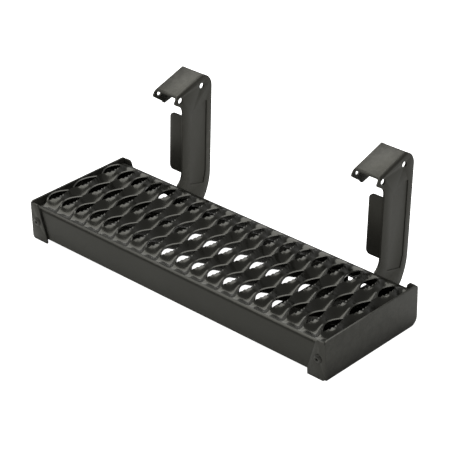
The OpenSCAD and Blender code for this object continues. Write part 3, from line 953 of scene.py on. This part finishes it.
def button_screw(size):
    """A button-head socket screw along Z, its tip down; size is its CAD box."""
    head_r, total = size.x / 2, size.y
    head_h, shank_r = head_r * SCREW_HEAD_SHARE, head_r * SCREW_SHANK_SHARE
    shank = total - head_h
    socket = head_r * SOCKET_SHARE
    rim = [
        (0.0, -shank), (shank_r * POINT_SHARE, -shank),
        *thread(shank_r, low=-shank + 0.0005, high=-0.001, pitch=0.001, depth=0.0003),
        (shank_r, 0.0), (head_r * FACE_SHARE, 0.0), (head_r, head_h * 0.08), (head_r, head_h * RIM_SHARE),
    ]
    crown = head_h * (1 - RIM_SHARE)
    rim += [(head_r * math.cos(a), head_h * RIM_SHARE + crown * math.sin(a)) for a in (0.3, 0.55, 0.8)]
    rim += [(head_r * 0.58, head_h), (head_r * 0.50, head_h)]
    bm, rings = lathe(rim, SCREW_STEPS)
    floor = head_h * SOCKET_FLOOR
    hexagon, bottom = [], []
    for i in range(SCREW_STEPS):
        angle = TAU * i / SCREW_STEPS
        r = min(hexagon_radius(socket, angle), head_r * SOCKET_LIMIT)
        hexagon.append(bm.verts.new((r * math.cos(angle), r * math.sin(angle), head_h - SOCKET_LIP)))
        bottom.append(bm.verts.new((r * math.cos(angle), r * math.sin(angle), floor)))
    tip = bm.verts.new((0, 0, floor - SOCKET_CONE))
    for i in range(SCREW_STEPS):
        j = (i + 1) % SCREW_STEPS
        bm.faces.new((rings[-1][i], rings[-1][j], hexagon[j], hexagon[i]))
        bm.faces.new((hexagon[i], hexagon[j], bottom[j], bottom[i]))
        bm.faces.new((bottom[i], bottom[j], tip))
    return bm


def carriage_bolt(size):
    """A round-head bolt with its thread up; the middle of its box is at the origin."""
    head_r, total = size.x / 2, size.z
    head_h, shank_r = head_r * BOLT_SHARE, head_r * BOLT_SHARE
    base = -total / 2
    steps = 6
    turns = [HEAD_TURN * i / steps for i in range(steps + 1)]
    rise = head_h * HEAD_DOME_SHARE / (1 - math.cos(HEAD_TURN))
    dome = [(head_r * math.sin(a) / math.sin(HEAD_TURN), base + rise * (1 - math.cos(a))) for a in turns]
    profile = dome + [(head_r, base + head_h), (shank_r, base + head_h), (shank_r, base + head_h + BOLT_NECK)]
    profile += thread(
        shank_r, low=base + head_h + BOLT_NECK, high=total / 2 - BOLT_POINT, pitch=0.00125, depth=0.00045
    )
    profile += [(shank_r * POINT_SHARE, total / 2), (0.0, total / 2)]
    return lathe(profile, 32)[0]


def spring_washer(size, bore):
    """A split ring of square wire whose two ends stand apart."""
    outer, half = size.x / 2, size.z / 2
    bm = bmesh.new()
    steps, gap, rise = 44, math.radians(10), half * 0.25
    rings = []
    for i in range(steps + 1):
        angle = gap / 2 + (TAU - gap) * i / steps
        lift = rise * (2 * i / steps - 1)
        rings.append([
            bm.verts.new((r * math.cos(angle), r * math.sin(angle), z + lift))
            for r, z in ((bore, -half + rise), (outer, -half + rise), (outer, half - rise), (bore, half - rise))
        ])
    for one, two in zip(rings, rings[1:]):
        for i in range(4):
            j = (i + 1) % 4
            bm.faces.new((one[i], one[j], two[j], two[i]))
    bm.faces.new(rings[0])
    bm.faces.new(reversed(rings[-1]))
    return bm


def flat_washer(size, bore):
    outer, half, edge = size.x / 2, size.z / 2, WASHER_EDGE
    profile = [
        (bore, -half), (outer - edge, -half), (outer, -half + edge), (outer, half - edge), (outer - edge, half),
        (bore + edge, half), (bore, half - edge), (bore, -half),
    ]
    return lathe(profile, 40)[0]


class STEP_OT_cap_screws(bpy.types.Operator):
    """Make the end caps' button-head screws and the nuts that hold them"""

    bl_idname = "step.cap_screws"
    bl_label = "Cap Screws"

    def execute(self, context):
        size = size_of("cap_screw_left_front")
        screw = button_screw(size)
        head = size.x / 2 * SCREW_HEAD_SHARE
        bmesh.ops.translate(screw, verts=screw.verts, vec=(0, 0, (size.y - head) / 2 - head / 2))
        bmesh.ops.rotate(screw, verts=screw.verts, matrix=Matrix.Rotation(math.pi / 2, 3, "X"))
        set_out(screw, "cap_screws", "cap_screw", "screw_black", "black_oxide", True)
        nut_size = size_of("weld_nut_left_front")
        nut = hex_prism(nut_size.z, size.x / 2 * SCREW_NUT_SHARE, -nut_size.y / 2, nut_size.y / 2, chamfer=0.0006)
        bmesh.ops.rotate(nut, verts=nut.verts, matrix=Matrix.Rotation(math.pi / 2, 3, "X"))
        set_out(nut, "weld_nuts", "weld_nut", "zinc_hardware", "zinc_plate", True)
        return {"FINISHED"}


class STEP_OT_arm_bolts(bpy.types.Operator):
    """Make the bolts, washers and nuts that hold the hangers"""

    bl_idname = "step.arm_bolts"
    bl_label = "Hanger Bolts"

    def execute(self, context):
        bolt = size_of("arm_bolt_left_front")
        shank = bolt.x / 2 * BOLT_SHARE
        set_out(carriage_bolt(bolt), "arm_bolts", "arm_bolt", "zinc_hardware", "zinc_plate")
        washer = flat_washer(size_of("flat_washer_left_front"), shank * WASHER_BORE_SHARE)
        set_out(washer, "flat_washers", "flat_washer", "zinc_hardware", "zinc_plate")
        ring = spring_washer(size_of("lock_washer_left_front"), shank * WASHER_BORE_SHARE)
        set_out(ring, "lock_washers", "lock_washer", "zinc_hardware", "zinc_plate")
        nut = size_of("hex_nut_left_front")
        body = hex_prism(nut.y, shank * NUT_BORE_SHARE, -nut.z / 2, nut.z / 2, chamfer=0.0008)
        set_out(body, "hex_nuts", "hex_nut", "zinc_hardware", "zinc_plate")
        return {"FINISHED"}


# ---- stage ----------------------------------------------------------------


FLOOR_HALF = 15.0
SENSOR_WIDTH = 36.0
FARTHEST_SEEN = 60.0


def floor_finish():
    """A pale floor that is seen plain white and still lies in shade under the step."""
    material = bpy.data.materials.new("pale_floor")
    material.use_nodes = True
    tree = material.node_tree
    shader = tree.nodes["Principled BSDF"]
    shader.inputs["Base Color"].default_value = (0.82, 0.82, 0.80, 1)
    shader.inputs["Roughness"].default_value = 0.9
    shader.inputs["Specular IOR Level"].default_value = 0.1
    shader.inputs["Emission Color"].default_value = (1, 1, 1, 1)
    seen = add_node(tree, "ShaderNodeLightPath").outputs["Is Camera Ray"]
    tree.links.new(seen, shader.inputs["Emission Strength"])
    return material


def soft_light(name, place, target, size, power):
    data = bpy.data.lights.new(name, "AREA")
    data.shape = "RECTANGLE"
    data.size, data.size_y = size
    data.energy = power
    light = bpy.data.objects.new(name, data)
    light.location = place
    light.rotation_euler = (Vector(target) - Vector(place)).to_track_quat("-Z", "Y").to_euler()
    bpy.context.scene.collection.objects.link(light)


class STEP_OT_stage(bpy.types.Operator):
    """Set the floor, the light and the camera"""

    bl_idname = "step.stage"
    bl_label = "Stage"

    def execute(self, context):
        look = context.scene.step_stage
        bm = bmesh.new()
        bmesh.ops.create_grid(bm, x_segments=1, y_segments=1, size=FLOOR_HALF)
        floor = keep(bm, "floor", floor_finish())

        world = bpy.data.worlds.new("soft_studio")
        world.use_nodes = True
        world.node_tree.nodes["Background"].inputs["Color"].default_value = (1, 1, 1, 1)
        world.node_tree.nodes["Background"].inputs["Strength"].default_value = look.sky
        context.scene.world = world
        soft_light("overhead", look.lamp_place, (0, 0, 0), look.lamp_size, look.lamp_power)

        turn, height = look.azimuth, look.elevation
        back = Vector((math.sin(turn) * math.cos(height), -math.cos(turn) * math.cos(height), math.sin(height)))
        camera_data = bpy.data.cameras.new("camera")
        camera_data.lens = look.lens
        camera_data.sensor_width = SENSOR_WIDTH
        camera_data.clip_end = FARTHEST_SEEN
        camera = bpy.data.objects.new("camera", camera_data)
        camera.location = Vector(look.aim) + back * look.distance
        level = back.to_track_quat("Z", "Y").to_matrix()
        camera.rotation_euler = (level @ Matrix.Rotation(look.roll, 3, "Z")).to_euler()
        context.scene.collection.objects.link(camera)
        context.scene.camera = camera
        context.scene.view_settings.view_transform = "Standard"
        return {"FINISHED"}


# ---- panel and registration -----------------------------------------------

OPERATORS = (
    STEP_OT_deck, STEP_OT_rails, STEP_OT_base_plates, STEP_OT_end_caps,
    STEP_OT_hangers, STEP_OT_cap_screws, STEP_OT_arm_bolts, STEP_OT_stage,
)


class STEP_PT_panel(bpy.types.Panel):
    """Lists the pieces of the step"""

    bl_idname = "STEP_PT_panel"
    bl_label = "Tailgate Step"
    bl_space_type = "VIEW_3D"
    bl_region_type = "UI"
    bl_category = "Step"

    def draw(self, context):
        for operator in OPERATORS:
            self.layout.operator(operator.bl_idname)


CLASSES = (*GROUPS.values(), *OPERATORS, STEP_PT_panel)


def register():
    for each in CLASSES:
        bpy.utils.register_class(each)
    for name, group in GROUPS.items():
        setattr(bpy.types.Scene, name, bpy.props.PointerProperty(type=group))


def unregister():
    for name in GROUPS:
        delattr(bpy.types.Scene, name)
    for each in reversed(CLASSES):
        bpy.utils.unregister_class(each)


def main():
    register()
    for operator in OPERATORS:
        group, name = operator.bl_idname.split(".")
        getattr(getattr(bpy.ops, group), name)()


if __name__ == "__main__":
    main()
